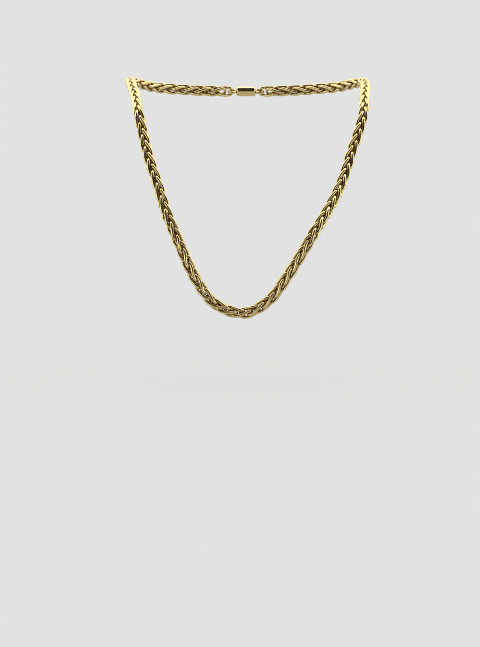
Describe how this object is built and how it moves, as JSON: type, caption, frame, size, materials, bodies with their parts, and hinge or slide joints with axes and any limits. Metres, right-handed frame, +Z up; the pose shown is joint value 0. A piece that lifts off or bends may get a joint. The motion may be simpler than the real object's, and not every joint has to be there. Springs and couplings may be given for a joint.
{
  "type": "wheat chain necklace",
  "caption": "Wheat chain necklace in its worn form: a loop of interlocked twisted oval links, draped to a rounded V at the front and closed at the nape by a plain barrel clasp.",
  "frame": {"origin": "the nape: the middle of the clasp's side that lies on the back of the neck, where the neck holds the closed necklace up", "axes": "+Z up; the wearer faces -Y, so the front of the chain lies at -Y, and +X is the wearer's left"},
  "size_m": [0.1114, 0.1191, 0.1066],
  "materials": {
    "chain_gold": "polished gold plate",
    "clasp_gold": "polished gold plate"
  },
  "bodies": {
    "root": {"chain_left": "chain_gold", "chain_right": "chain_gold", "clasp": "clasp_gold"}
  },
  "joints": []
}
